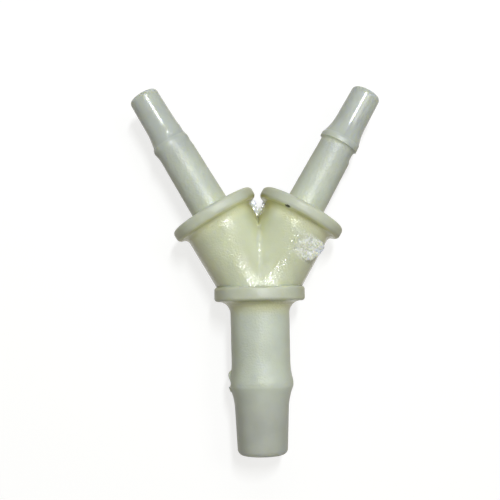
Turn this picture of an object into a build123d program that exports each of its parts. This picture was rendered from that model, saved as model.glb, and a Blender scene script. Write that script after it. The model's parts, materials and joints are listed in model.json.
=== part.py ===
from build123d import *
import math
import os
from dataclasses import dataclass

# Reducing Y connector for plastic tubing, moulded in one piece. All sizes in millimetres.
#
# The origin is the point where the three flow bores meet. +Y points up the middle,
# between the two small arms; the large leg runs down -Y; +Z is up when the part
# lies on its three collars. Distances "along" a leg are measured outwards from the origin.

# ---- branching --------------------------------------------------------------
ARM_ANGLE = 30.0  # lean of each arm away from +Y, in degrees
BODY_DIA = 11.8  # round body that carries each arm down to the large collar
CREASE_FILLET = 0.4  # hollow where the two round bodies run into each other

# ---- collars: the stops that a tube is pushed up to ---------------------------
COLLAR_DIA = 14.8  # the same on all three legs, so that the part lies flat
COLLAR_GAP = 0.82  # clear space between the rims of the two arm collars
MAIN_COLLAR_THICK = 2.35
MAIN_COLLAR_LIFT = 0.35  # how far the large leg's collar reaches past the origin
MAIN_COLLAR_EDGE = 0.5  # rounding of the rim
ARM_COLLAR_THICK = 2.15
ARM_COLLAR_EDGE = 0.7
ARM_COLLAR_ROOT = 0.65  # hollow from the round body up to an arm's collar

# ---- large leg, for 3/8 inch (9.5 mm) bore tubing ---------------------------
MAIN_NECK_DIA = 9.66
MAIN_NECK_TAPER = 0.1  # how much thinner the neck is at the barb than at the collar
MAIN_NECK_LENGTH = 13.4  # collar to the middle of the barb's crest
MAIN_COLLAR_FLAT = 0.07  # what the hollow to the neck leaves of the collar's flat face
MAIN_BARB_DIA = 10.4
MAIN_BARB_LAND = 0.8  # straight length of the crest
MAIN_BARB_BACK = 3.4  # length over which the neck swells to the crest
MAIN_BARB_RAMP = 3.6  # length over which the nose falls from the crest
MAIN_NOSE_LENGTH = 11.4  # middle of the crest to the end of the leg
MAIN_NOSE_ROOT_DIA = 8.74
MAIN_NOSE_END_DIA = 8.06
MAIN_NOSE_ROUND = 1.0
MAIN_BORE_DIA = 6.0
MAIN_BORE_OVERRUN = 1.5  # how far the large bore runs past the origin

# ---- arms, for 1/4 inch (6.35 mm) bore tubing ---------------------------------
ARM_NECK_DIA = 6.46
ARM_NECK_TAPER = 0.38
ARM_NECK_FILLET = 0.6
ARM_NECK_LENGTH = 12.4
ARM_BARB_DIA = 6.8
ARM_BARB_LAND = 0.6
ARM_BARB_BACK = 0.35
ARM_BARB_RAMP = 3.7
ARM_NOSE_LENGTH = 9.8
ARM_NOSE_ROOT_DIA = 5.2
ARM_NOSE_END_DIA = 4.98
ARM_NOSE_ROUND = 0.75
ARM_BORE_DIA = 3.4

# ---- stub left where the gate was broken off ---------------------------------
GATE_DIA = 4.6
GATE_HEIGHT = 0.8  # above the round body
GATE_ALONG = 9.8  # from the origin, along the +X arm
GATE_TURN = 38.0  # from +Z towards the outer side of the arm, in degrees
GATE_SLOPE = 12.0  # draft of the stub's side, in degrees

# ---- worked out from the sizes above -------------------------------------------
LEAN = math.radians(ARM_ANGLE)
COLLAR_R = COLLAR_DIA / 2
BODY_R = BODY_DIA / 2

# The hollow from the large collar to its neck takes up the whole step, but for a narrow flat.
MAIN_NECK_FILLET = COLLAR_R - MAIN_COLLAR_EDGE - MAIN_NECK_DIA / 2 - MAIN_COLLAR_FLAT

# Where an arm's collar starts: its rounded rim stands half the gap off the middle plane.
RIM_CENTRE = (COLLAR_R - ARM_COLLAR_EDGE) * math.cos(LEAN) + ARM_COLLAR_EDGE + COLLAR_GAP / 2
ARM_COLLAR_AT = RIM_CENTRE / math.sin(LEAN) - ARM_COLLAR_EDGE

# The round bodies start below the origin by their own radius, and all of that is cut away
# at the height of the origin, inside the large leg's collar.
BODY_OVERLAP = BODY_R
CLIP_SIZE = 4 * (ARM_COLLAR_AT + COLLAR_R)
TOLERANCE = 1e-4


@dataclass(frozen=True)
class Leg:
    """One tube connection: a collar, a neck, a single barb and a rounded nose."""

    collar_at: float
    collar_thick: float
    collar_edge: float
    neck_dia: float
    neck_taper: float
    neck_fillet: float
    neck_length: float
    barb_dia: float
    barb_land: float
    barb_back: float
    barb_ramp: float
    nose_length: float
    nose_root_dia: float
    nose_end_dia: float
    nose_round: float

    @property
    def collar_end(self) -> float:
        return self.collar_at + self.collar_thick

    @property
    def crest_at(self) -> float:
        return self.collar_end + self.neck_length

    @property
    def end(self) -> float:
        return self.crest_at + self.nose_length


MAIN = Leg(
    collar_at=-MAIN_COLLAR_LIFT,
    collar_thick=MAIN_COLLAR_THICK,
    collar_edge=MAIN_COLLAR_EDGE,
    neck_dia=MAIN_NECK_DIA,
    neck_taper=MAIN_NECK_TAPER,
    neck_fillet=MAIN_NECK_FILLET,
    neck_length=MAIN_NECK_LENGTH,
    barb_dia=MAIN_BARB_DIA,
    barb_land=MAIN_BARB_LAND,
    barb_back=MAIN_BARB_BACK,
    barb_ramp=MAIN_BARB_RAMP,
    nose_length=MAIN_NOSE_LENGTH,
    nose_root_dia=MAIN_NOSE_ROOT_DIA,
    nose_end_dia=MAIN_NOSE_END_DIA,
    nose_round=MAIN_NOSE_ROUND,
)

ARM = Leg(
    collar_at=ARM_COLLAR_AT,
    collar_thick=ARM_COLLAR_THICK,
    collar_edge=ARM_COLLAR_EDGE,
    neck_dia=ARM_NECK_DIA,
    neck_taper=ARM_NECK_TAPER,
    neck_fillet=ARM_NECK_FILLET,
    neck_length=ARM_NECK_LENGTH,
    barb_dia=ARM_BARB_DIA,
    barb_land=ARM_BARB_LAND,
    barb_back=ARM_BARB_BACK,
    barb_ramp=ARM_BARB_RAMP,
    nose_length=ARM_NOSE_LENGTH,
    nose_root_dia=ARM_NOSE_ROOT_DIA,
    nose_end_dia=ARM_NOSE_END_DIA,
    nose_round=ARM_NOSE_ROUND,
)


def round_corner(face, corner, radius):
    """Round the corner of a face that lies nearest to the given point."""
    return fillet(face.vertices().sort_by_distance(corner)[0], radius)


def leg_solid(leg):
    """A leg from its collar outwards, standing on the origin and pointing along +Y."""
    neck_root = (leg.neck_dia / 2, leg.collar_end)
    neck_end = (leg.neck_dia / 2 - leg.neck_taper / 2, leg.crest_at - leg.barb_land / 2 - leg.barb_back)
    crest_start = (leg.barb_dia / 2, leg.crest_at - leg.barb_land / 2)
    crest_end = (leg.barb_dia / 2, leg.crest_at + leg.barb_land / 2)
    nose_root = (leg.nose_root_dia / 2, crest_end[1] + leg.barb_ramp)
    nose_end = (leg.nose_end_dia / 2, leg.end)
    rim_start = (COLLAR_R, leg.collar_at)
    rim_end = (COLLAR_R, leg.collar_end)

    nose_side = Vector(*nose_root) - Vector(*nose_end)
    neck_side = Vector(*neck_end) - Vector(*neck_root)
    outline = [
        Polyline((0, leg.collar_at), rim_start, rim_end, neck_root, neck_end),
        TangentArc(neck_end, crest_start, tangent=neck_side),
        Line(crest_start, crest_end),
        TangentArc(nose_root, crest_end, tangent=nose_side),
        Polyline(nose_root, nose_end, (0, leg.end), (0, leg.collar_at)),
    ]
    section = make_face(Curve() + outline)
    section = round_corner(section, rim_start, leg.collar_edge)
    section = round_corner(section, rim_end, leg.collar_edge)
    section = round_corner(section, neck_root, leg.neck_fillet)
    section = round_corner(section, nose_end, leg.nose_round)
    return revolve(section, Axis.Y)


def rod(radius, start, end):
    """A plain round rod along +Y, from start to end."""
    return Pos(0, (start + end) / 2, 0) * Rot(-90, 0, 0) * Cylinder(radius, end - start)


def arm_body():
    """One round body along +Y, up to the inside of its arm's collar, with the flare below it."""
    top = ARM_COLLAR_AT + ARM_COLLAR_THICK / 2
    flare_start = (BODY_R, ARM_COLLAR_AT - ARM_COLLAR_ROOT)
    flare_end = (BODY_R + ARM_COLLAR_ROOT, ARM_COLLAR_AT)
    outline = [
        Polyline((0, top), (0, -BODY_OVERLAP), (BODY_R, -BODY_OVERLAP), flare_start),
        TangentArc(flare_start, flare_end, tangent=(0, 1)),
        Polyline(flare_end, (flare_end[0], top), (0, top)),
    ]
    return revolve(make_face(Curve() + outline), Axis.Y)


def on_middle_plane(edge):
    """Whether an edge lies in the plane halfway between the arms."""
    return all(abs(edge.position_at(share).X) < TOLERANCE for share in (0, 0.3, 0.7, 1))


def branch():
    """The two round bodies, run together, with the crease between them hollowed out."""
    pair = [Rot(0, 0, side * ARM_ANGLE) * arm_body() for side in (1, -1)]
    above_origin = Pos(0, CLIP_SIZE / 2, 0) * Box(CLIP_SIZE, CLIP_SIZE, CLIP_SIZE)
    bodies = (pair[0] + pair[1]) & above_origin
    return fillet(bodies.edges().filter_by(on_middle_plane), CREASE_FILLET)


def gate_stub():
    """The broken gate on the +X arm's body, as a short tapered boss."""
    foot_r = GATE_DIA / 2 + BODY_R * math.tan(math.radians(GATE_SLOPE))
    top_r = GATE_DIA / 2 - GATE_HEIGHT * math.tan(math.radians(GATE_SLOPE))
    height = BODY_R + GATE_HEIGHT
    cone = Pos(0, 0, height / 2) * Cone(foot_r, top_r, height)
    return Rot(0, 0, -ARM_ANGLE) * Pos(0, GATE_ALONG, 0) * Rot(0, GATE_TURN, 0) * cone


def connector():
    """The whole moulding: body, three legs and gate stub, with the flow bores cut through."""
    solid = branch()
    for angle, leg in ((180.0, MAIN), (ARM_ANGLE, ARM), (-ARM_ANGLE, ARM)):
        solid += Rot(0, 0, angle) * leg_solid(leg)
    solid += gate_stub()
    solid -= Rot(0, 0, 180.0) * rod(MAIN_BORE_DIA / 2, -MAIN_BORE_OVERRUN, MAIN.end)
    for angle in (ARM_ANGLE, -ARM_ANGLE):
        solid -= Rot(0, 0, angle) * rod(ARM_BORE_DIA / 2, 0, ARM.end)
    return solid


os.makedirs("parts", exist_ok=True)
export_step(connector(), "parts/y_connector.step")
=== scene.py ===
"""Dresses a one-piece reducing Y connector for plastic tubing.

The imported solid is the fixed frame. The moulding is modelled again over it as one closed mesh,
with the marks that moulding leaves: spark-eroded grain, slight flash and the torn stub of a gate.
All sizes are in metres. +Y runs up the middle between the arms, and +Z is up.
"""

import json
import logging
import math
from collections.abc import Callable, Sequence
from dataclasses import dataclass
from enum import Enum

import bpy
from mathutils import Euler, Matrix, Vector


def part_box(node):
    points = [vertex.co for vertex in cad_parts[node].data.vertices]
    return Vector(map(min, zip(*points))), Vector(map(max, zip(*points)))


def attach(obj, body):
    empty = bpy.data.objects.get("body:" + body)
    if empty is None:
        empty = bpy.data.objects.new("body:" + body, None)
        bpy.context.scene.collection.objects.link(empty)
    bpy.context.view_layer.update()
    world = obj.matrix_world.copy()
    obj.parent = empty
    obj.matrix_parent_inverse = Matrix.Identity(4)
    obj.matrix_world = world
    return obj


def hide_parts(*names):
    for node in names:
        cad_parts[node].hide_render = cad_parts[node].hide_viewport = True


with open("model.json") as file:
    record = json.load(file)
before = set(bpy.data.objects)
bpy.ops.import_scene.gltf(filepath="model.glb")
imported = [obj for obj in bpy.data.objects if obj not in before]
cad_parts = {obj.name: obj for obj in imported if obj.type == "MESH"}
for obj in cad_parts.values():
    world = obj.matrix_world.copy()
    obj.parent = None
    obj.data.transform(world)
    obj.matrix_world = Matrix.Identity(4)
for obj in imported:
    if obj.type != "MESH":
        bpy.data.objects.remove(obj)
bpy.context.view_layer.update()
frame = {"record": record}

NODE = "y_connector"
BODY = "root"

MM = 0.001
TINY = 1e-7
SHELL_MERGE = 0.004 * MM
FINE_MERGE = 0.001 * MM
BODY_RADIUS = 5.9 * MM
BORE_STEPS = 96
SMOOTH_ANGLE = math.radians(38)
CLOUD_OCTAVES = 3
NODE_STEP = (220, -90)
NODE_ROWS = 5

Pair = tuple[float, float]
Point = tuple[float, float, float]
Span = tuple[float, float, float, float]
Colour = tuple[float, float, float, float]
Piece = bpy.types.Object
Socket = bpy.types.NodeSocket
WHITE: Colour = (1.0, 1.0, 1.0, 1.0)
# Two of these masks carry painted light: lighter paint in the recessed corners, and darker paint on the sides, a
# painted shade.
MASKS = ("arms", "thin", "core", "rim", "hollow", "tear", "gloss", "grain", "shaded_flank")

log = logging.getLogger("y_connector")


def mm(*sizes: float) -> tuple[float, ...]:
    """Sizes in millimetres, as metres."""
    return tuple(size * MM for size in sizes)


class Solver(Enum):
    """How two closed meshes are cut or joined."""

    JOIN = "UNION"
    CUT = "DIFFERENCE"


class Relief(Enum):
    """The kinds of unevenness that a moulded skin has, by the texture that makes each."""

    CLOUDY = "CLOUDS"
    LUMPY = "STUCCI"


# ---- the bench: what every piece is made with


def deselect_objects() -> None:
    """Leave no object selected or in edit mode."""
    if bpy.context.object and bpy.context.object.mode != "OBJECT":
        bpy.ops.object.mode_set(mode="OBJECT")
    for each in bpy.context.selected_objects:
        each.select_set(False)


def pick(piece: Piece) -> None:
    """Make one object the only selected one, and active."""
    deselect_objects()
    piece.select_set(True)
    bpy.context.view_layer.objects.active = piece


def edit_all(piece: Piece) -> None:
    """Open one mesh in edit mode, with all of it selected."""
    pick(piece)
    bpy.ops.object.mode_set(mode="EDIT")
    bpy.ops.mesh.select_all(action="SELECT")


def finish_shell(piece: Piece, merge: float = SHELL_MERGE) -> None:
    """Merge the vertices that all but touch, so that seams and poles are closed, and turn all faces outwards."""
    edit_all(piece)
    bpy.ops.mesh.remove_doubles(threshold=merge)
    bpy.ops.mesh.dissolve_degenerate(threshold=merge / 4)
    bpy.ops.mesh.normals_make_consistent(inside=False)
    bpy.ops.object.mode_set(mode="OBJECT")


def draw_wire(name: str, spots: Sequence[Vector]) -> Piece:
    """Draw a run of edges vertex by vertex.

    Args:
        name: the new object's name.
        spots: the corners, in order.

    Returns:
        The object, in edit mode with all of it selected.
    """
    deselect_objects()
    bpy.ops.mesh.primitive_plane_add(size=MM, location=(0, 0, 0))
    piece = bpy.context.object
    piece.name = name
    bpy.ops.object.mode_set(mode="EDIT")
    bpy.ops.mesh.select_all(action="SELECT")
    bpy.ops.mesh.merge(type="CENTER")
    bpy.ops.transform.translate(value=spots[0])
    for before, spot in zip(spots, spots[1:]):
        bpy.ops.mesh.extrude_region_move(TRANSFORM_OT_translate={"value": spot - before})
    bpy.ops.mesh.select_all(action="SELECT")
    return piece


def thicken(shift: Vector) -> None:
    """Extrude the selected face to a closed solid, all of it selected and facing outwards."""
    bpy.ops.mesh.extrude_region_move(TRANSFORM_OT_translate={"value": shift})
    bpy.ops.mesh.select_all(action="SELECT")
    bpy.ops.mesh.normals_make_consistent(inside=False)


def combine(piece: Piece, other: Piece, how: Solver) -> None:
    """Join another closed mesh to a piece, or cut it out, and remove the other.

    Args:
        piece: the mesh that stays.
        other: the mesh that is used up.
        how: join or cut.
    """
    pick(piece)
    step = piece.modifiers.new(how.name.lower(), "BOOLEAN")
    step.operation = how.value
    step.solver = "MANIFOLD"
    step.object = other
    bpy.ops.object.modifier_apply(modifier=step.name)
    bpy.data.objects.remove(other, do_unlink=True)


def group_by_place(piece: Piece, name: str, weigh: Callable[[Vector], float]) -> None:
    """Make a vertex group whose weights, 0 to 1, follow from where each vertex is."""
    group = piece.vertex_groups.new(name=name)
    for vertex in piece.data.vertices:
        weight = weigh(vertex.co)
        if weight > 0:
            group.add([vertex.index], weight, "REPLACE")


def displace(piece: Piece, where: str, distance: float, pattern: bpy.types.Texture | None = None) -> None:
    """Move a part of the skin along its normals.

    Args:
        piece: the mesh object.
        where: the vertex group that moves.
        distance: how far it moves outwards, or in all where a pattern moves it both ways.
        pattern: the texture that it follows, if it doesn't move evenly.
    """
    pick(piece)
    step = piece.modifiers.new(where, "DISPLACE")
    step.strength = distance
    step.vertex_group = where
    step.mid_level = 0.0
    if pattern:
        step.mid_level = 0.5
        step.texture = pattern
        step.texture_coords = "LOCAL"
    bpy.ops.object.modifier_apply(modifier=step.name)


def roughen(piece: Piece, relief: Relief, size: Pair, where: str) -> None:
    """Push a skin in and out by a cloudy or lumpy pattern.

    Args:
        piece: the mesh object.
        relief: the kind of pattern.
        size: how wide its lumps are, and how far the skin moves in all.
        where: the vertex group that it acts on.
    """
    pattern = bpy.data.textures.new(f"{where}_{relief.name.lower()}", relief.value)
    pattern.noise_scale, height = size
    if relief is Relief.CLOUDY:
        pattern.noise_depth = CLOUD_OCTAVES
    displace(piece, where, height, pattern)


def sideways(axis: Vector) -> Vector:
    """The direction square to a leg's axis and level with the floor, to the right when the axis points up."""
    return Vector((axis.y, -axis.x, 0.0))


def soft_step(start: float, end: float, value: float) -> float:
    """A smooth rise from 0 at start to 1 at end."""
    share = min(max((value - start) / (end - start), 0.0), 1.0)
    return share * share * (3 - 2 * share)


def soft_span(span: Span, value: float) -> float:
    """A smooth rise from 0 to 1 between the span's first two values, and a smooth fall between its last two."""
    return soft_step(*span[:2], value) * (1.0 - soft_step(*span[2:], value))


class OutlinePen:
    """Draws half the outline of a turned shape as closely spaced points of radius and place along."""

    def __init__(self, radius: float, along: float, spacing: float, turn: float = math.radians(15)) -> None:
        """Start at a point, with the longest step between points and the largest turn between those of a curve."""
        self.points = [Vector((radius, along))]
        self.spacing = spacing
        self.turn = turn

    def line_to(self, radius: float, along: float) -> None:
        """Draw a straight stretch to a point."""
        start = self.points[-1]
        end = Vector((radius, along))
        steps = max(1, math.ceil((end - start).length / self.spacing))
        self.points += [start.lerp(end, step / steps) for step in range(1, steps + 1)]

    def _curve(self, start: Vector, heading: Vector, end: Vector) -> list[Vector]:
        """Points of the circle that leaves one point in a given direction and reaches another.

        Args:
            start: where the curve starts; it isn't among the points returned.
            heading: the direction in which it starts.
            end: where it ends.

        Returns:
            The points, the last of which is the end.
        """
        chord = end - start
        half = heading.angle_signed(chord)
        if abs(half) < TINY:
            return [end]
        radius = chord.length / 2 / math.sin(abs(half))
        steps = max(
            2,
            math.ceil(2 * abs(half) / self.turn),
            math.ceil(2 * abs(half) * radius / self.spacing),
        )
        side = Vector((heading.y, -heading.x)).normalized() * math.copysign(radius, half)
        centre = start + side
        return [centre + Matrix.Rotation(-2 * half * step / steps, 2) @ (-side) for step in range(1, steps + 1)]

    def curve_to(self, radius: float, along: float, heading: Vector) -> None:
        """Draw a round stretch that starts in a given direction."""
        self.points += self._curve(self.points[-1], heading, Vector((radius, along)))

    def curve_onto(self, radius: float, along: float, heading: Vector) -> None:
        """Draw a round stretch that ends in a given direction."""
        start = self.points[-1]
        backwards = self._curve(Vector((radius, along)), -heading, start)
        self.points += backwards[-2::-1] + [Vector((radius, along))]

    def corner(self, radius: float, along: float, rounding: float, leaves: Vector) -> None:
        """Draw a straight stretch up to a corner, and round the corner.

        Args:
            radius: distance of the sharp corner from the axis.
            along: place of the sharp corner along the axis.
            rounding: radius of the rounding.
            leaves: direction in which the outline goes on.
        """
        sharp = Vector((radius, along))
        arrives = (sharp - self.points[-1]).normalized()
        leaves = leaves.normalized()
        reach = rounding * math.tan(arrives.angle(leaves) / 2)
        self.line_to(*(sharp - arrives * reach))
        self.curve_to(*(sharp + leaves * reach), heading=arrives)


@dataclass(frozen=True)
class Lathe:
    """Turns outlines into round solids about an axis through the origin."""

    axis: Vector
    steps: int

    def place(self, radius: float, along: float) -> Vector:
        """The point in the middle plane at a radius and a place along the axis."""
        return self.axis * along + sideways(self.axis) * radius

    def turn(self, name: str, outline: Sequence[Vector]) -> Piece:
        """Spin an outline, whose ends lie on the axis, once round to a closed solid."""
        piece = draw_wire(name, [self.place(*point) for point in outline])
        bpy.ops.mesh.spin(steps=self.steps, angle=math.tau, center=(0, 0, 0), axis=self.axis)
        finish_shell(piece)
        return piece


# ---- the pieces of the moulding


@dataclass(frozen=True)
class Collar:
    """A round stop that a tube is pushed up to."""

    start: float
    thick: float
    edge: float
    radius: float = 7.4 * MM
    slant: float = 0.0

    @property
    def end(self) -> float:
        """Place of its outer face along the leg."""
        return self.start + self.thick

    def draw(self, pen: OutlinePen) -> None:
        """Draw the rim, from the inner face to the outer one."""
        pen.corner(self.radius, self.start + self.slant, self.edge, leaves=Vector((0, 1)))
        pen.corner(self.radius, self.end, self.edge, leaves=Vector((-1, 0)))


@dataclass(frozen=True)
class Leg:
    """One tube connection: a collar, a neck, a single barb, a rounded nose and a bore."""

    name: str
    axis: Vector
    collar: Collar
    neck_radius: float
    neck_fall: float
    neck_hollow: float
    crest_at: float
    crest_radius: float
    crest_land: float
    crest_back: float
    crest_ramp: float
    nose_length: float
    nose_root_radius: float
    nose_end_radius: float
    nose_round: float
    bore_radius: float
    bore_start: float
    polish_past: float
    wear: float = 0.0
    step_shade: float = 0.0

    @property
    def end(self) -> float:
        """Place of its end along the leg."""
        return self.crest_at + self.nose_length

    @property
    def polish_from(self) -> float:
        """Place along the leg from which its mould was polished."""
        return self.crest_at + self.polish_past

    @property
    def swell_at(self) -> float:
        """Place along the leg where its neck starts to swell to the barb."""
        return self.crest_at - self.crest_land / 2 - self.crest_back

    def draw(self, pen: OutlinePen) -> None:
        """Draw the leg from its collar's inner face to the middle of its end."""
        neck_end = Vector((self.neck_radius - self.neck_fall, self.swell_at))
        neck_side = neck_end - Vector((self.neck_radius, self.collar.end))
        nose_root = Vector((self.nose_root_radius, self.crest_at + self.crest_land / 2 + self.crest_ramp))
        nose_side = Vector((self.nose_end_radius, self.end)) - nose_root
        self.collar.draw(pen)
        pen.corner(self.neck_radius, self.collar.end, self.neck_hollow, leaves=neck_side)
        pen.line_to(*neck_end)
        pen.curve_to(self.crest_radius - self.wear, self.crest_at - self.crest_land / 2, heading=neck_side)
        pen.line_to(self.crest_radius - self.wear, self.crest_at + self.crest_land / 2)
        pen.curve_onto(*nose_root, heading=nose_side)
        pen.corner(self.nose_end_radius, self.end, self.nose_round, leaves=Vector((-1, 0)))
        pen.line_to(0.0, self.end)

    def reach_of(self, spot: Vector) -> tuple[float, float]:
        """A point's place along the leg and its distance from the leg's axis."""
        along = spot.dot(self.axis)
        return along, (spot - self.axis * along).length

    def bore(self) -> Piece:
        """The tool that cuts this leg's bore."""
        pen = OutlinePen(0.0, self.bore_start, spacing=MM)
        pen.line_to(self.bore_radius, self.bore_start)
        pen.line_to(self.bore_radius, self.end + self.bore_radius)
        pen.line_to(0.0, self.end + self.bore_radius)
        return Lathe(self.axis, BORE_STEPS).turn(f"{self.name}_bore", pen.points)


@dataclass(frozen=True)
class GateStub:
    """What is left of the gate that was broken off one arm's round body.

    Its face was torn in a slope: level with the body on the inner side, and standing out on the outer side.
    The outline gives the face's corners in millimetres: how far out from the arm's axis, and how far along it.
    """

    axis: Vector
    outline: tuple[Pair, ...] = (
        *((0.99, 9.42), (1.03, 10.17), (1.4, 10.84), (2.15, 11.2), (2.91, 11.21), (3.86, 11.23)),
        *((4.69, 11.3), (5.26, 11.24), (5.71, 10.68), (6.01, 10.12), (5.84, 9.47), (5.47, 8.76)),
        *((4.97, 7.95), (4.35, 7.35), (3.46, 7.25), (2.58, 7.46), (1.76, 7.89), (1.16, 8.61)),
    )
    inner: Pair = mm(1.5, 5.76)
    middle: Pair = mm(3.5, 9.3)
    fall: float = math.tan(math.radians(25))
    sunk: float = 2.6 * MM
    edge_cuts: int = 5
    rings: int = 10
    wall_cuts: int = 6
    wall_step: float = 0.25 * MM
    facing: float = 0.9
    ragged: Pair = mm(1.1, 0.5)
    span_out: Pair = mm(0.0, 8)
    span_along: Pair = mm(6, 13)
    edge_fade: Pair = mm(-0.35, 0.15)
    lift_fade: Pair = mm(0.7, 1.2)

    @property
    def side(self) -> Vector:
        """The direction out from the arm's axis, level with the floor."""
        return sideways(self.axis)

    @property
    def outwards(self) -> Vector:
        """The direction that the torn face looks."""
        return (self.side * self.fall + Vector((0, 0, 1))).normalized()

    def _on_face(self, out: float, along: float) -> Vector:
        """The point of the torn face at a distance out from the axis and a place along it."""
        return self.axis * along + self.side * out + Vector((0, 0, self.inner[1] - (out - self.inner[0]) * self.fall))

    def _inside_by(self, here: Vector) -> float:
        """How far inside the torn face's outline a point is, from how far out and along it is; below 0 outside."""
        inside, nearest = False, math.inf
        corners = [Vector(corner) * MM for corner in self.outline]
        for start, end in zip(corners, corners[1:] + corners[:1]):
            edge = end - start
            if (start.y > here.y) != (end.y > here.y):
                inside ^= here.x < start.x + (here.y - start.y) / edge.y * edge.x
            share = min(max((here - start).dot(edge) / edge.length_squared, 0.0), 1.0)
            nearest = min(nearest, (here - start - edge * share).length)
        return nearest if inside else -nearest

    def torn_at(self, spot: Vector) -> float:
        """How torn the skin is at a point: 1 on the face, falling to 0 just outside its outline."""
        out, along = spot.dot(self.side), spot.dot(self.axis)
        lift = abs((spot - self._on_face(out, along)).dot(self.outwards))
        near = self.span_out[0] < out < self.span_out[1] and self.span_along[0] < along < self.span_along[1]
        if lift > self.lift_fade[1] or not near:
            return 0.0
        edge = soft_step(*self.edge_fade, self._inside_by(Vector((out, along))))
        return edge * (1.0 - soft_step(*self.lift_fade, lift))

    def build(self) -> Piece:
        """Draw the torn face, give it a ragged outline and rings close enough to be torn, and root it in the body."""
        spots = [self._on_face(out * MM, along * MM) for out, along in self.outline]
        stub = draw_wire("gate_stub", spots)
        bpy.ops.mesh.edge_face_add()
        bpy.ops.mesh.subdivide(number_cuts=self.edge_cuts)
        bpy.ops.mesh.select_all(action="SELECT")
        thicken(-self.outwards * self.sunk)
        self._ring_the_face(stub)
        group_by_place(stub, "ragged", lambda spot: 1.0)
        roughen(stub, Relief.CLOUDY, self.ragged, "ragged")
        return stub

    def _ring_the_face(self, stub: Piece) -> None:
        """Inset the torn face again and again, and divide the wall below it."""
        bpy.ops.mesh.select_all(action="DESELECT")
        bpy.ops.object.mode_set(mode="OBJECT")
        for face in stub.data.polygons:
            face.select = face.normal.dot(self.outwards) > self.facing
        bpy.ops.object.mode_set(mode="EDIT")
        bpy.context.tool_settings.mesh_select_mode = (False, False, True)
        middle = self._on_face(*self.middle)
        for ring in range(self.rings, 1, -1):
            bpy.ops.mesh.extrude_region_move(TRANSFORM_OT_translate={"value": (0, 0, 0)})
            bpy.ops.transform.resize(value=((ring - 1) / ring,) * 3, center_override=middle)
        bpy.context.tool_settings.mesh_select_mode = (True, False, False)
        for step in range(1, self.wall_cuts + 1):
            level = middle - self.outwards * self.wall_step * step
            bpy.ops.mesh.select_all(action="SELECT")
            bpy.ops.mesh.bisect(plane_co=level, plane_no=self.outwards, threshold=TINY)
        finish_shell(stub, FINE_MERGE)


@dataclass(frozen=True)
class FlashFin:
    """A thin sliver of plastic that was squeezed out in the plane where the mould halves meet.

    Its corners are given in millimetres.
    """

    name: str
    corners: tuple[Pair, ...]
    thick: float
    rounding: float = 0.25
    cuts: int = 2

    def build(self) -> Piece:
        """Draw the sliver in the parting plane, give it its thickness and round its edges."""
        spots = [Vector((x * MM, y * MM, -self.thick / 2)) for x, y in self.corners]
        fin = draw_wire(self.name, spots)
        bpy.ops.mesh.edge_face_add()
        thicken(Vector((0, 0, self.thick)))
        bpy.ops.mesh.bevel(offset=self.thick * self.rounding, segments=2, affect="EDGES")
        bpy.ops.mesh.select_all(action="SELECT")
        bpy.ops.mesh.quads_convert_to_tris()
        bpy.ops.mesh.subdivide(number_cuts=self.cuts)
        finish_shell(fin, FINE_MERGE)
        return fin


@dataclass(frozen=True)
class Dent:
    """A patch of a leg's skin that stands lower than it was drawn, or higher where the depth is negative."""

    name: str
    leg: Leg
    along: float
    turn: float
    half_length: float
    half_turn: float
    depth: float
    even_length: float = 0.3
    even_turn: float = 0.55

    def weigh(self, spot: Vector) -> float:
        """How much of the depth a point gets, 0 to 1."""
        along, away = self.leg.reach_of(spot)
        if abs(along - self.along) > self.half_length or not self.leg.bore_radius < away < self.leg.collar.radius:
            return 0.0
        swing = abs((math.atan2(spot.dot(sideways(self.leg.axis)), spot.z) - self.turn + math.pi) % math.tau - math.pi)
        across = 1.0 - soft_step(self.half_turn * self.even_turn, self.half_turn, swing)
        even = self.half_length * self.even_length
        return across * (1.0 - soft_step(even, self.half_length, abs(along - self.along)))

    def press(self, piece: Piece) -> None:
        """Push the patch in."""
        group_by_place(piece, self.name, self.weigh)
        displace(piece, self.name, -self.depth)


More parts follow.
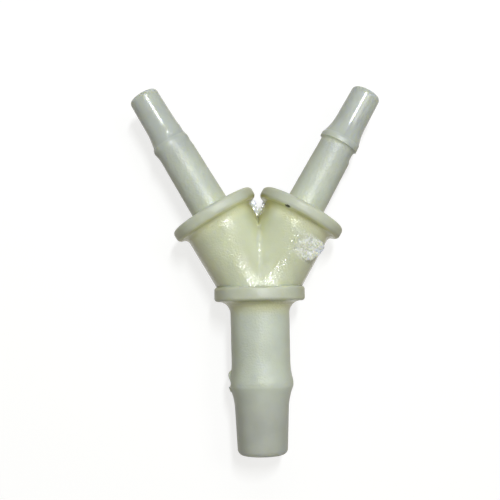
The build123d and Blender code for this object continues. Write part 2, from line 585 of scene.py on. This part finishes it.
@dataclass(frozen=True)
class SkinMap:
    """Says where each finish lies, and where light and shade are painted, as a value of 0 to 1 at every point of the
    moulding.

    Pairs are the places between which a value rises or falls, most of them counted from a part of a leg.
    """

    main: Leg
    arms: tuple[Leg, Leg]
    gate: GateStub
    polish_edge: Pair = mm(-0.2, 0.2)
    gloss_edge: Pair = mm(0.8, 1.6)
    thin_main: Pair = mm(-2, 6)
    thin_arm: Pair = mm(-7, 1)
    core_reach: Pair = mm(-1, 4)
    rim_along: Pair = mm(-0.2, 0.3)
    rim_away: Pair = mm(-1.1, -0.3)
    # Where the painted light of the recessed corners rises and falls: under the large collar, behind a barb's step and
    # under an arm's collar.
    root: Span = mm(-0.1, 0.3, 0.6, 2.6)
    step: Span = mm(-0.5, 0.0, 0.2, 0.5)
    corner: Span = mm(-2.2, -0.2, 0.1, 0.5)
    web_foot: float = 12.2 * MM
    web_corner: Point = mm(1.8, 15.4, 0.6)
    web_gap: float = 0.04 * MM
    tear_least: float = 0.3
    tear_rise: Pair = mm(1.2, 3.2)
    line_x: float = 0.3 * MM
    line_half: Pair = mm(0.3, 0.7)
    line_span: Span = mm(3.6, 5.0, 9.0, 10.4)
    line_gloss: float = 0.55
    own_reach: float = 1.05
    curl: float = 1.1 * MM
    curl_fall: Pair = mm(3.8, 6.0)
    valley_x: float = 0.5 * MM
    valley_slope: float = 0.8
    valley_foot: float = 1.3 * MM
    valley_half: float = 2.8 * MM
    valley_edge: float = 0.9 * MM
    valley_rise: Pair = mm(1.6, 2.4)
    steep: Pair = (0.55, 0.85)
    # Where the painted shade on the sides lies, and its least share out on the legs.
    flat: Pair = (0.15, 0.85)
    flank_least: float = 0.45
    neck_rise: float = 2 * MM
    tip_past: float = 3 * MM
    tip_grain: Pair = (0.08, 0.35)
    least_grain: float = 0.06
    rim_loss: float = 0.7
    valley_loss: float = 0.8
    flank_loss: float = 0.65
    neck_loss: float = 0.1

    @property
    def legs(self) -> tuple[Leg, ...]:
        """The three tube connections."""
        return (self.main, *self.arms)

    def _best_of(self, spot: Vector, weigh: Callable[[Leg, float, float], float]) -> float:
        """The largest weight that a leg gives a point, by its place along the leg and its distance from the axis."""
        reaches = ((leg, *leg.reach_of(spot)) for leg in self.legs)
        near = (reach for reach in reaches if reach[2] < reach[0].collar.radius * self.own_reach)
        return max([0.0] + [weigh(*reach) for reach in near])

    def arms_at(self, spot: Vector) -> float:
        """1 on the arms' side of the large collar, 0 on the large leg."""
        return float(spot.y > 0.0)

    def polish_at(self, spot: Vector) -> float:
        """How polished the mould was: 1 on the noses, 0 on the necks and body."""
        return self._best_of(spot, lambda leg, along, away: soft_step(*self.polish_edge, along - leg.polish_from))

    def thin_at(self, spot: Vector) -> float:
        """How thin the plastic is: 1 on the noses, falling off along the necks, sooner on the large leg's."""
        reach = {leg.name: self.thin_main if leg is self.main else self.thin_arm for leg in self.legs}
        return self._best_of(spot, lambda leg, along, away: soft_step(*reach[leg.name], along - leg.crest_at))

    def core_at(self, spot: Vector) -> float:
        """How deep the plastic is: 1 on the round bodies, falling over the collars to 0 out on the legs."""
        before, past = self.core_reach
        return 1.0 - self._best_of(
            spot, lambda leg, along, away: soft_step(leg.collar.start + before, leg.collar.end + past, along)
        )

    def rim_at(self, spot: Vector) -> float:
        """1 on the collars' rims, 0 elsewhere."""

        def weigh(leg: Leg, along: float, away: float) -> float:
            """Full on the outer part of the collar's own thickness."""
            if not leg.collar.start + self.rim_along[0] < along < leg.collar.end + self.rim_along[1]:
                return 0.0
            return soft_step(*self.rim_away, away - leg.collar.radius)

        return self._best_of(spot, weigh)

    def hollow_at(self, spot: Vector) -> float:
        """How much painted light a point gets: 1 deep in a recessed corner and behind a barb's step, where shade falls.
        """

        def weigh(leg: Leg, along: float, away: float) -> float:
            """The corner of the large collar and its neck, of a body and its collar, and behind a barb."""
            if leg is self.main:
                return soft_span(self.root, along - leg.collar.end)
            behind = soft_span(self.step, along - leg.swell_at)
            corner = soft_span(self.corner, along - leg.collar.start)
            return max(corner, behind * leg.step_shade)

        return self._best_of(spot, weigh)

    def facing_at(self, spot: Vector) -> float:
        """How squarely the skin faces up or down, taken from the leg whose axis is nearest."""
        away = min(leg.reach_of(spot)[1] for leg in self.legs if spot.dot(leg.axis) > -MM)
        return min(abs(spot.z) / max(away, TINY), 1.0)

    def web_at(self, spot: Vector) -> float:
        """1 on the flash that hangs in the fork between the arms."""
        half_x, top, half_z = self.web_corner
        if abs(spot.z) > half_z or not self.web_foot < spot.y < top or abs(spot.x) > half_x:
            return 0.0
        for leg in self.arms:
            along, away = leg.reach_of(spot)
            if away < BODY_RADIUS + self.web_gap or along > leg.collar.start:
                return 0.0
        return 1.0

    def tear_at(self, spot: Vector) -> float:
        """How pale a tear is: 1 on the flash in the fork and the outer part of the gate stub's face."""
        outer = soft_step(*self.tear_rise, spot.dot(self.gate.side))
        pale = self.tear_least + (1.0 - self.tear_least) * outer
        return max(self.gate.torn_at(spot) * pale, self.web_at(spot))

    def line_at(self, spot: Vector) -> float:
        """1 along the middle stretch of the crease between the bodies, on the upper side."""
        if spot.z < self.main.bore_radius:
            return 0.0
        middle = self.line_x - self.curl * (1.0 - soft_step(*self.curl_fall, spot.y))
        across = 1.0 - soft_step(*self.line_half, abs(spot.x - middle))
        return across * soft_span(self.line_span, spot.y)

    def gloss_at(self, spot: Vector) -> float:
        """How much the skin shines: 1 on the arms' noses, less in the crease between the bodies."""
        noses = self._best_of(spot, lambda leg, along, away: soft_step(*self.gloss_edge, along - leg.polish_from))
        return max(noses * self.arms_at(spot), self.line_gloss * self.line_at(spot))

    def _valley_at(self, spot: Vector) -> float:
        """1 in the smoother, V-shaped valley between the bodies."""
        half = min(max(self.valley_slope * spot.y - self.valley_foot, 0.0), self.valley_half)
        across = 1.0 - soft_step(half, half + self.valley_edge, abs(spot.x - self.valley_x))
        return soft_step(*self.valley_rise, spot.y) * across

    def grain_at(self, spot: Vector) -> float:
        """How coarse the skin is: 1 on the skin, next to 0 on a polished nose, a little more at its tip."""
        neck = self._best_of(spot, lambda leg, along, away: soft_step(0.0, self.neck_rise, along - leg.collar.end))

        def on_tip(leg: Leg, along: float, away: float) -> float:
            """Nothing at the barb, and most at the tip of an arm."""
            return self.tip_grain[leg is not self.main] * soft_step(leg.crest_at + self.tip_past, leg.end, along)

        shaded_flank = 1.0 - soft_step(*self.steep, self.facing_at(spot))
        skin = (1.0 - self.polish_at(spot)) * (1.0 - self.rim_loss * self.rim_at(spot))
        skin *= (1.0 - self.valley_loss * self._valley_at(spot)) * (1.0 - self.flank_loss * shaded_flank)
        skin *= 1.0 - self.neck_loss * neck
        return max(skin, self._best_of(spot, on_tip), self.gate.torn_at(spot), self.least_grain)

    def shaded_flank_at(self, spot: Vector) -> float:
        """How much painted shade a point gets: most near the parting plane, where the sides turn away from the lamps,
        and more on the round bodies than on the legs.
        """
        deep = self.flank_least + (1.0 - self.flank_least) * self.core_at(spot)
        return (1.0 - soft_step(*self.flat, self.facing_at(spot))) * deep

    def note(self, piece: Piece) -> None:
        """Store the finish masks and the masks of painted light and shade on the mesh, for the material to read."""
        for name in MASKS:
            value_at = getattr(self, f"{name}_at")
            layer = piece.data.attributes.new(name, "FLOAT", "POINT")
            layer.data.foreach_set("value", [value_at(vertex.co) for vertex in piece.data.vertices])


@dataclass(frozen=True)
class Moulding:
    """The whole connector, as one closed skin.

    The pairs from swells to crease_teeth are how wide a kind of unevenness is, and how high in all.
    """

    skin: SkinMap
    fins: tuple[FlashFin, ...]
    dents: tuple[Dent, ...]
    flare: float = 0.65 * MM
    flare_length: float = 0.95 * MM
    crease: float = 0.7 * MM
    crease_passes: int = 8
    crease_pull: float = 0.5
    sink_at: Pair = mm(0.2, 5.3)
    sink_reach: Pair = mm(0.6, 7.0)
    sink_depth: float = 1.0 * MM
    spacing: float = 0.28 * MM
    steps: int = 144
    polished_calm: float = 0.8
    web_tear: float = 0.4
    swells: Pair = mm(3.5, 0.06)
    ripples: Pair = mm(0.5, 0.015)
    torn_lumps: Pair = mm(0.7, 0.32)
    torn_fibres: Pair = mm(0.32, 0.26)
    crease_teeth: Pair = mm(0.6, 0.2)

    def _main_leg(self) -> Piece:
        """Turn the large leg, from its collar's hidden face to its nose."""
        leg = self.skin.main
        pen = OutlinePen(0.0, leg.collar.start, self.spacing)
        leg.draw(pen)
        return Lathe(leg.axis, self.steps).turn(NODE, pen.points)

    def _arm(self, arm: Leg) -> Piece:
        """Turn an arm with its round body, and cut it off square inside the large collar."""
        pen = OutlinePen(0.0, -BODY_RADIUS, self.spacing)
        pen.line_to(BODY_RADIUS, -BODY_RADIUS)
        pen.line_to(BODY_RADIUS, arm.collar.start - self.flare_length)
        pen.curve_to(BODY_RADIUS + self.flare, arm.collar.start, heading=Vector((0, 1)))
        arm.draw(pen)
        piece = Lathe(arm.axis, self.steps).turn(arm.name, pen.points)
        edit_all(piece)
        bpy.ops.mesh.bisect(plane_co=(0, 0, 0), plane_no=(0, 1, 0), use_fill=True, clear_inner=True)
        finish_shell(piece)
        return piece

    def _soften_crease(self, piece: Piece) -> None:
        """Hollow out the crease where the two round bodies run into each other."""
        arm = self.skin.arms[0]
        top = arm.collar.start * arm.axis.y

        def near(spot: Vector) -> float:
            """Full weight at the crease, and none past its width."""
            if not 0 < spot.y < top or abs(spot.z) < self.skin.main.bore_radius:
                return 0.0
            return 1.0 - soft_step(self.crease, 2 * self.crease, abs(spot.x))

        group_by_place(piece, "crease", near)
        pick(piece)
        step = piece.modifiers.new("crease", "SMOOTH")
        step.factor = self.crease_pull
        step.iterations = self.crease_passes
        step.vertex_group = "crease"
        bpy.ops.object.modifier_apply(modifier=step.name)

    def _sink(self, piece: Piece) -> None:
        """Let the thick plastic above the fork sink in on both faces, as it does when it cools."""

        def weigh(spot: Vector) -> float:
            """Full at the middle of the sink, outside the bores."""
            outside = float(abs(spot.z) > self.skin.main.bore_radius)
            return (1.0 - soft_step(*self.sink_reach, (spot.xy - Vector(self.sink_at)).length)) * outside

        group_by_place(piece, "sunk", weigh)
        displace(piece, "sunk", -self.sink_depth)

    def _roughen(self, piece: Piece) -> None:
        """Give the skin the slight unevenness of a moulding, and tear the gate stub."""
        skin = self.skin
        group_by_place(piece, "skin", lambda spot: 1.0 - self.polished_calm * skin.polish_at(spot))
        group_by_place(piece, "torn", lambda spot: max(skin.gate.torn_at(spot), self.web_tear * skin.web_at(spot)))
        roughen(piece, Relief.CLOUDY, self.swells, "skin")
        roughen(piece, Relief.CLOUDY, self.ripples, "skin")
        roughen(piece, Relief.LUMPY, self.torn_lumps, "torn")
        roughen(piece, Relief.CLOUDY, self.torn_fibres, "torn")
        group_by_place(piece, "jagged", skin.line_at)
        roughen(piece, Relief.CLOUDY, self.crease_teeth, "jagged")

    def build(self) -> Piece:
        """Turn, join, cut and roughen the moulding.

        Returns:
            The finished mesh object, at the origin.
        """
        skin = self.skin
        piece = self._main_leg()
        for arm in skin.arms:
            combine(piece, self._arm(arm), Solver.JOIN)
        self._soften_crease(piece)
        for part in (skin.gate, *self.fins):
            combine(piece, part.build(), Solver.JOIN)
        for leg in skin.legs:
            combine(piece, leg.bore(), Solver.CUT)
        finish_shell(piece)
        for dent in self.dents:
            dent.press(piece)
        self._sink(piece)
        self._roughen(piece)
        skin.note(piece)
        pick(piece)
        bpy.ops.object.shade_smooth_by_angle(angle=SMOOTH_ANGLE)
        return piece


# ---- finishes


class NodeBench:
    """Adds and wires the nodes of one shader tree."""

    def __init__(self, tree: bpy.types.NodeTree) -> None:
        """Take a material's tree or a group's to work on."""
        self.tree = tree
        self.column = 0

    def add(self, kind: str, feeds: dict[str | int, object] | None = None, **settings: object) -> bpy.types.Node:
        """Add a node, set it and wire what feeds it.

        Args:
            kind: the node's type name.
            feeds: for each input, a socket to wire to it or a value to set.
            settings: the node's own properties.

        Returns:
            The node.
        """
        node = self.tree.nodes.new(kind)
        node.location = (NODE_STEP[0] * self.column, NODE_STEP[1] * (self.column % NODE_ROWS))
        self.column += 1
        for name, value in settings.items():
            setattr(node, name, value)
        for name, value in (feeds or {}).items():
            if isinstance(value, Socket):
                self.tree.links.new(value, node.inputs[name])
            else:
                node.inputs[name].default_value = value
        return node

    def math(self, operation: str, first: object, second: object = 0.0, third: object = 0.0) -> Socket:
        """The result of a sum on sockets or numbers."""
        return self.add("ShaderNodeMath", {0: first, 1: second, 2: third}, operation=operation).outputs[0]

    def slide(self, share: object, first: object, second: float) -> Socket:
        """A number moved from a first value towards a second by a share."""
        return self.math("MULTIPLY_ADD", share, self.math("SUBTRACT", second, first), first)

    def spread(self, value: object, low: float, high: float, start: float = 0.0, end: float = 1.0) -> Socket:
        """A value stretched smoothly from one range to another."""
        feeds = {"Value": value, "From Min": low, "From Max": high, "To Min": start, "To Max": end}
        return self.add("ShaderNodeMapRange", feeds, interpolation_type="SMOOTHSTEP").outputs["Result"]

    def blend(self, share: object, first: object, second: object, mode: str = "MIX") -> Socket:
        """Two colours mixed by a share."""
        return self.add("ShaderNodeMix", {0: share, 6: first, 7: second}, data_type="RGBA", blend_type=mode).outputs[2]

    def noise(self, place: Socket, scale: object, detail: float) -> Socket:
        """A soft, uneven pattern."""
        return self.add("ShaderNodeTexNoise", {"Vector": place, "Scale": scale, "Detail": detail}).outputs["Fac"]


def new_material(name: str) -> tuple[bpy.types.Material, NodeBench]:
    """An empty material and the bench for its tree."""
    material = bpy.data.materials.new(name)
    material.use_nodes = True
    material.node_tree.nodes.clear()
    return material, NodeBench(material.node_tree)


def paint(red: float, green: float, blue: float) -> Colour:
    """A colour from the 0 to 255 scale of a paint chart, as the shader wants it."""
    return tuple(((c / 255 + 0.055) / 1.055) ** 2.4 for c in (red, green, blue)) + (1.0,)


@dataclass(frozen=True)
class GrainGroup:
    """The pitted skin that spark erosion leaves, as a shader node group."""

    name: str = "spark_grain"
    pit_rate: float = 1.3
    pit_power: float = 1.5
    pit_share: float = 0.25
    drift_rate: float = 0.06

    def build(self) -> bpy.types.NodeTree:
        """Make the group: a height and a tone that vary over the surface.

        Returns:
            The node group.
        """
        tree = bpy.data.node_groups.new(self.name, "ShaderNodeTree")
        tree.interface.new_socket("Place", in_out="INPUT", socket_type="NodeSocketVector")
        for name, way in (("Pits per Metre", "INPUT"), ("Height", "OUTPUT"), ("Tone", "OUTPUT")):
            tree.interface.new_socket(name, in_out=way, socket_type="NodeSocketFloat")
        bench = NodeBench(tree)
        given = bench.add("NodeGroupInput")
        place, rate = given.outputs["Place"], given.outputs["Pits per Metre"]
        coarse = bench.noise(place, rate, 1.0)
        scale = bench.math("MULTIPLY", rate, self.pit_rate)
        pits = bench.add("ShaderNodeTexVoronoi", {"Vector": place, "Scale": scale}).outputs["Distance"]
        rounded = bench.math("POWER", pits, self.pit_power)
        height = bench.math("MULTIPLY_ADD", rounded, self.pit_share, coarse)
        drift = bench.noise(place, bench.math("MULTIPLY", rate, self.drift_rate), 4.0)
        bench.add("NodeGroupOutput", {"Height": height, "Tone": drift})
        return tree


@dataclass(frozen=True)
class Fleck:
    """A dark grain of burnt plastic that was moulded in."""

    place: Point
    turn: float
    half_size: Point
    ragged_rate: float = 5000.0
    ragged: float = 1.2
    edge: Pair = (0.8, 1.1)

    def mask(self, bench: NodeBench, place: Socket) -> Socket:
        """1 inside the fleck, 0 outside, with an uneven edge."""
        feeds = {
            "Vector": place,
            "Location": self.place,
            "Rotation": (0.0, 0.0, self.turn),
            "Scale": self.half_size,
        }
        own = bench.add("ShaderNodeMapping", feeds, vector_type="TEXTURE").outputs[0]
        reach = bench.add("ShaderNodeVectorMath", {0: own}, operation="LENGTH").outputs["Value"]
        uneven = bench.noise(place, self.ragged_rate, 2.0)
        edge = bench.math("MULTIPLY_ADD", uneven, self.ragged, bench.math("SUBTRACT", reach, self.ragged / 2))
        return bench.spread(edge, *self.edge, 1.0, 0.0)


@dataclass(frozen=True)
class NaturalPlastic:
    """Uncoloured moulding plastic: ivory, slightly translucent, matte where the mould was eroded."""

    body: Colour = paint(207, 213, 186)
    neck: Colour = paint(202, 210, 198)
    # Painted shade: the arms' necks are painted darker than the large leg's neck, evening out the lamps, which light
    # the arms more.
    shaded_arm_neck: Colour = paint(195, 202, 191)
    nose: Colour = paint(176, 181, 173)
    arm_nose: Colour = paint(185, 192, 186)
    rim: Colour = paint(196, 202, 186)
    # Painted light: a lighter, yellower paint in the recessed corners and behind the right barb's step, standing in for
    # the light that the plastic carries into the shade there.
    hollow: Colour = paint(220, 223, 185)
    torn: Colour = paint(214, 219, 206)
    # White specks on the torn face: partly the plastic's own stress-whitening, partly painted glints.
    torn_specks_and_glints: Colour = paint(238, 241, 234)
    speck_heights: Pair = (0.56, 0.68)
    burnt: Colour = paint(38, 44, 18)
    fleck: Fleck = Fleck((4.43 * MM, 12.8 * MM, 6.8 * MM), math.radians(-27), (0.52 * MM, 0.2 * MM, 0.8 * MM))
    # Painted shade: the sides near the parting plane are painted darker and yellower, standing in for the shade where
    # they turn away from the lamps.
    flank_shade_tint: Colour = (0.74, 0.69, 0.43, 1.0)
    drift: float = 0.06
    drift_tones: Pair = (0.3, 0.7)
    pits_per_metre: float = 3200.0
    grain_depth: float = 0.076 * MM
    rough_body: float = 0.12
    rough_neck: float = 0.4
    rough_nose: float = 0.21
    rough_rim: float = 0.42
    ior: float = 1.5
    specular: float = 0.65
    scatter_radius: Point = (1.0, 0.92, 0.5)
    scatter_scale: float = 1.3 * MM

    def _skin(self, bench: NodeBench, masks: dict[str, Socket], pits: bpy.types.Node) -> Socket:
        """The plastic's colour, from thick to thin and from whole to torn, with painted light in the corners, painted
        shade on the sides and on the arms' necks, and partly painted glints on tears, by the masks and the grain group.
        """
        # The arms' necks take their painted shade here.
        neck = bench.blend(masks["arms"], self.neck, self.shaded_arm_neck)
        nose = bench.blend(masks["arms"], self.nose, self.arm_nose)
        skin = bench.blend(masks["core"], neck, self.body)
        skin = bench.blend(masks["thin"], skin, nose)
        skin = bench.blend(masks["rim"], skin, self.rim)
        # Painted light in the recessed corners.
        skin = bench.blend(masks["hollow"], skin, self.hollow)
        # Painted shade on the sides.
        skin = bench.blend(masks["shaded_flank"], skin, bench.blend(1.0, skin, self.flank_shade_tint, "MULTIPLY"))
        shade = bench.spread(pits.outputs["Tone"], *self.drift_tones, 1.0 - self.drift, 1.0 + self.drift)
        skin = bench.blend(1.0, skin, shade, "MULTIPLY")
        # White specks on tears, partly stress-whitening and partly painted glints.
        specks_and_glints = bench.spread(pits.outputs["Height"], *self.speck_heights)
        return bench.blend(masks["tear"], skin, bench.blend(specks_and_glints, self.torn, self.torn_specks_and_glints))

    def build(self, grain: bpy.types.NodeTree) -> bpy.types.Material:
        """Make the material.

        Args:
            grain: the spark grain group.

        Returns:
            The material.
        """
        material, bench = new_material("natural_plastic_moulded")
        place = bench.add("ShaderNodeTexCoord").outputs["Object"]
        masks = {name: bench.add("ShaderNodeAttribute", attribute_name=name).outputs["Fac"] for name in MASKS}
        feeds = {"Place": place, "Pits per Metre": self.pits_per_metre}
        pits = bench.add("ShaderNodeGroup", feeds, node_tree=grain)
        skin = bench.blend(self.fleck.mask(bench, place), self._skin(bench, masks, pits), self.burnt)
        rough = bench.slide(masks["core"], self.rough_neck, self.rough_body)
        rough = bench.slide(masks["gloss"], rough, self.rough_nose)
        rough = bench.slide(masks["rim"], rough, self.rough_rim)
        depth = bench.math("MULTIPLY_ADD", masks["tear"], self.grain_depth, self.grain_depth)
        feeds = {"Height": pits.outputs["Height"], "Strength": masks["grain"], "Distance": depth}
        bump = bench.add("ShaderNodeBump", feeds)
        feeds = {
            "Base Color": skin,
            "Roughness": rough,
            "Normal": bump.outputs["Normal"],
            "IOR": self.ior,
            "Specular IOR Level": self.specular,
            "Subsurface Weight": 1.0,
            "Subsurface Radius": self.scatter_radius,
            "Subsurface Scale": self.scatter_scale,
        }
        shader = bench.add("ShaderNodeBsdfPrincipled", feeds, subsurface_method="RANDOM_WALK")
        bench.add("ShaderNodeOutputMaterial", {"Surface": shader.outputs["BSDF"]})
        return material


# ---- the studio


@dataclass(frozen=True)
class SoftBox:
    """An oblong lamp, aimed at the object."""

    name: str
    place: Point
    size: Pair
    watts: float
    colour: Point

    def build(self, aim: Vector) -> None:
        """Hang the lamp and turn it to the aim."""
        lamp = bpy.data.lights.new(self.name, "AREA")
        lamp.shape = "RECTANGLE"
        lamp.size, lamp.size_y = self.size
        lamp.energy = self.watts
        lamp.color = self.colour
        holder = bpy.data.objects.new(self.name, lamp)
        holder.location = self.place
        holder.visible_camera = False
        holder.rotation_euler = (aim - Vector(self.place)).to_track_quat("-Z", "Y").to_euler()
        bpy.context.scene.collection.objects.link(holder)


@dataclass(frozen=True)
class Studio:
    """A pale floor under soft boxes, with an even pale surround."""

    floor_at: float
    boxes: tuple[SoftBox, ...]
    floor_size: float = 3.0
    floor_glow: float = 0.76
    floor_albedo: float = 0.3
    floor_rough: float = 0.9
    ambient: Colour = (1.0, 0.9, 0.55, 1.0)
    ambient_strength: float = 0.12

    def _seen(self, bench: NodeBench) -> Socket:
        """1 for the rays that show a surface itself, in a mirror or through glass."""
        path = bench.add("ShaderNodeLightPath")
        seen = bench.math("ADD", path.outputs["Is Camera Ray"], path.outputs["Is Glossy Ray"])
        return bench.math("MINIMUM", bench.math("ADD", seen, path.outputs["Is Transmission Ray"]), 1.0)

    def _surround(self) -> None:
        """Light the scene evenly, and show plain white where nothing stands."""
        world = bpy.data.worlds.new("surround")
        world.use_nodes = True
        world.node_tree.nodes.clear()
        bench = NodeBench(world.node_tree)
        seen = self._seen(bench)
        colour = bench.blend(seen, self.ambient, WHITE)
        strength = bench.slide(seen, self.ambient_strength, 1.0)
        sky = bench.add("ShaderNodeBackground", {"Color": colour, "Strength": strength})
        bench.add("ShaderNodeOutputWorld", {"Surface": sky.outputs[0]})
        bpy.context.scene.world = world

    def _floor(self) -> None:
        """Lay the floor, which keeps the object's shadow."""
        deselect_objects()
        bpy.ops.mesh.primitive_plane_add(size=self.floor_size, location=(0, 0, self.floor_at))
        floor = bpy.context.object
        floor.name = "floor"
        bpy.ops.object.transform_apply(location=True)
        material, bench = new_material("white_floor")
        feeds = {
            "Base Color": (*(self.floor_albedo,) * 3, 1.0),
            "Roughness": self.floor_rough,
            "Specular IOR Level": 0.0,
            "Emission Color": WHITE,
            "Emission Strength": bench.math("MULTIPLY", self._seen(bench), self.floor_glow),
        }
        shader = bench.add("ShaderNodeBsdfPrincipled", feeds)
        bench.add("ShaderNodeOutputMaterial", {"Surface": shader.outputs["BSDF"]})
        floor.data.materials.append(material)

    def build(self, aim: Vector) -> None:
        """Set up the surround, the floor and the lamps, which are turned to the aim."""
        self._surround()
        self._floor()
        for box in self.boxes:
            box.build(aim)
        bpy.context.scene.view_settings.view_transform = "Standard"


@dataclass(frozen=True)
class Viewpoint:
    """A camera that looks almost straight down on the part."""

    place: Point = mm(-6.59, -4.41, 150.25)
    tilt: Point = (0.07259, -0.03296, -0.02092)
    lens: float = 66.04
    sensor: float = 36.0
    near: float = 5 * MM

    def build(self) -> None:
        """Place the camera and make it the scene's."""
        camera = bpy.data.cameras.new("camera")
        camera.lens = self.lens
        camera.sensor_width = self.sensor
        camera.clip_start = self.near
        holder = bpy.data.objects.new("camera", camera)
        holder.location = self.place
        holder.rotation_euler = Euler(self.tilt, "XYZ")
        bpy.context.scene.collection.objects.link(holder)
        bpy.context.scene.camera = holder


# ---- putting it together


def mounts() -> dict[str, dict]:
    """The part's stated interfaces, by name."""
    return {mount["name"]: mount for mount in frame["record"]["mounts"]}


def stated_sizes(side: str, stated: dict[str, dict]) -> dict[str, object]:
    """What the interfaces say of the main, left or right leg: its axis, the crest of its barb, and its bore."""
    barb, bore = stated[f"{side}_barb"], stated[f"{side}_bore"]
    return {
        "axis": Vector(barb["axis"]).normalized(),
        "crest_at": Vector(barb["pos_m"]).length,
        "crest_radius": barb["dims"]["r_mm"] * MM,
        "crest_land": barb["dims"]["length_mm"] * MM,
        "bore_radius": bore["dims"]["r_mm"] * MM,
    }


def main_leg(stated: dict[str, dict]) -> Leg:
    """The large leg, for 9.5 mm bore tubing."""
    return Leg(
        name="main_leg",
        collar=Collar(start=-0.35 * MM, thick=2.35 * MM, edge=0.5 * MM),
        neck_radius=4.83 * MM,
        neck_fall=0.05 * MM,
        neck_hollow=2.0 * MM,
        crest_back=3.4 * MM,
        crest_ramp=3.6 * MM,
        nose_length=11.4 * MM,
        nose_root_radius=4.37 * MM,
        nose_end_radius=4.03 * MM,
        nose_round=1.0 * MM,
        bore_start=-1.5 * MM,
        polish_past=0.4 * MM,
        **stated_sizes("main", stated),
    )


def arm(side: str, stated: dict[str, dict], **own: float) -> Leg:
    """One arm, for 6.35 mm bore tubing.

    Args:
        side: left or right.
        stated: the part's interfaces.
        own: the sizes that differ between the arms: crest_back, and where they aren't 0, wear and step_shade.

    Returns:
        The arm's sizes.
    """
    sizes = stated_sizes(side, stated)
    return Leg(
        name=f"{side}_arm",
        collar=Collar(start=sizes["crest_at"] - 14.55 * MM, thick=2.15 * MM, edge=0.7 * MM, slant=0.33 * MM),
        neck_radius=3.23 * MM,
        neck_fall=0.19 * MM,
        neck_hollow=0.6 * MM,
        crest_ramp=3.7 * MM,
        nose_length=9.8 * MM,
        nose_root_radius=2.6 * MM,
        nose_end_radius=2.49 * MM,
        nose_round=0.75 * MM,
        bore_start=0.0,
        polish_past=-0.5 * MM,
        **sizes,
        **own,
    )


def flash_fins() -> tuple[FlashFin, ...]:
    """The slivers in the parting plane, at the large barb and in the fork."""
    lump = ((-4.2, -12.9), (-4.8, -13.0), (-5.1, -13.3), (-5.37, -13.65), (-5.32, -14.3), (-4.92, -15.1), (-4.2, -15.1))
    tooth = ((-4.2, -15.6), (-4.9, -15.66), (-5.36, -15.8), (-5.2, -16.2), (-5.0, -16.7), (-4.2, -16.7))
    left = (
        *((-1.9, 14.2), (-1.25, 14.72), (-0.85, 14.55), (-0.5, 14.66), (-0.12, 14.1)),
        *((-0.38, 13.8), (-0.08, 13.5), (-0.5, 13.0), (-1.3, 12.9)),
    )
    foot = (
        *((-0.9, 12.6), (-0.62, 13.1), (-0.3, 13.36), (-0.05, 13.05), (0.2, 13.3)),
        *((0.42, 13.42), (0.6, 12.9), (0.8, 12.4), (0.3, 11.6), (-0.3, 11.6)),
    )
    right = (
        *((1.9, 14.2), (1.3, 14.6), (0.95, 14.5), (0.7, 14.1)),
        *((0.82, 13.8), (0.55, 13.5), (0.8, 13.0), (1.3, 12.9)),
    )
    return (
        FlashFin("barb_lump", lump, 0.7 * MM),
        FlashFin("barb_tooth", tooth, 0.35 * MM),
        FlashFin("fork_left", left, 0.3 * MM),
        FlashFin("fork_foot", foot, 0.3 * MM),
        FlashFin("fork_right", right, 0.3 * MM),
    )


def dents(large: Leg, left: Leg, right: Leg) -> tuple[Dent, ...]:
    """The patches where the barbs didn't fill well, or were worn."""
    return (
        Dent("worn_left_barb", left, 28.0 * MM, math.radians(80), 2.0 * MM, math.radians(100), 0.22 * MM),
        Dent("left_barb_corner", left, 28.1 * MM, math.radians(-90), 0.7 * MM, math.radians(60), -0.1 * MM),
        Dent("thin_right_neck", right, 26.3 * MM, math.radians(90), 1.2 * MM, math.radians(50), 0.22 * MM),
        Dent("thin_right_barb", right, 27.7 * MM, math.radians(90), 0.9 * MM, math.radians(45), 0.22 * MM),
        Dent("notched_main_barb", large, 15.35 * MM, math.radians(90), 0.55 * MM, math.radians(16), 0.3 * MM),
    )


def lamps() -> tuple[SoftBox, ...]:
    """A long key lamp, a small one close above the fork, one from the side and one that fills the shadows."""
    return (
        SoftBox("key", (0.049, 0.168, 0.47), (0.032, 0.13), 1.4, (0.95, 0.98, 1.0)),
        SoftBox("near", (0.002, 0.062, 0.08), (0.08, 0.06), 0.016, (0.97, 0.99, 1.0)),
        SoftBox("side", (0.24, 0.08, 0.43), (0.14, 0.14), 0.28, (1.0, 0.98, 0.94)),
        SoftBox("fill", (-0.02, -0.3, 0.33), (0.25, 0.25), 0.22, (1.0, 0.98, 0.88)),
    )


def main() -> None:
    """Build the moulding, dress it and set up the studio."""
    logging.basicConfig(level=logging.INFO, format="%(name)s: %(message)s")
    stated = mounts()
    large = main_leg(stated)
    left = arm("left", stated, crest_back=1.3 * MM, wear=0.2 * MM)
    right = arm("right", stated, crest_back=0.5 * MM, step_shade=0.25)
    skin = SkinMap(large, (left, right), GateStub(right.axis))
    piece = Moulding(skin, flash_fins(), dents(large, left, right)).build()
    piece.name = f"{NODE}_moulding"
    piece.data.materials.clear()
    piece.data.materials.append(NaturalPlastic().build(GrainGroup().build()))
    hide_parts(NODE)
    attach(piece, BODY)
    log.info("%s: %d vertices, %d faces", piece.name, len(piece.data.vertices), len(piece.data.polygons))
    low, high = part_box(NODE)
    Studio(low.z, lamps()).build((low + high) / 2)
    Viewpoint().build()
    log.info("studio and camera set")
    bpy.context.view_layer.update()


if __name__ == "__main__":
    main()
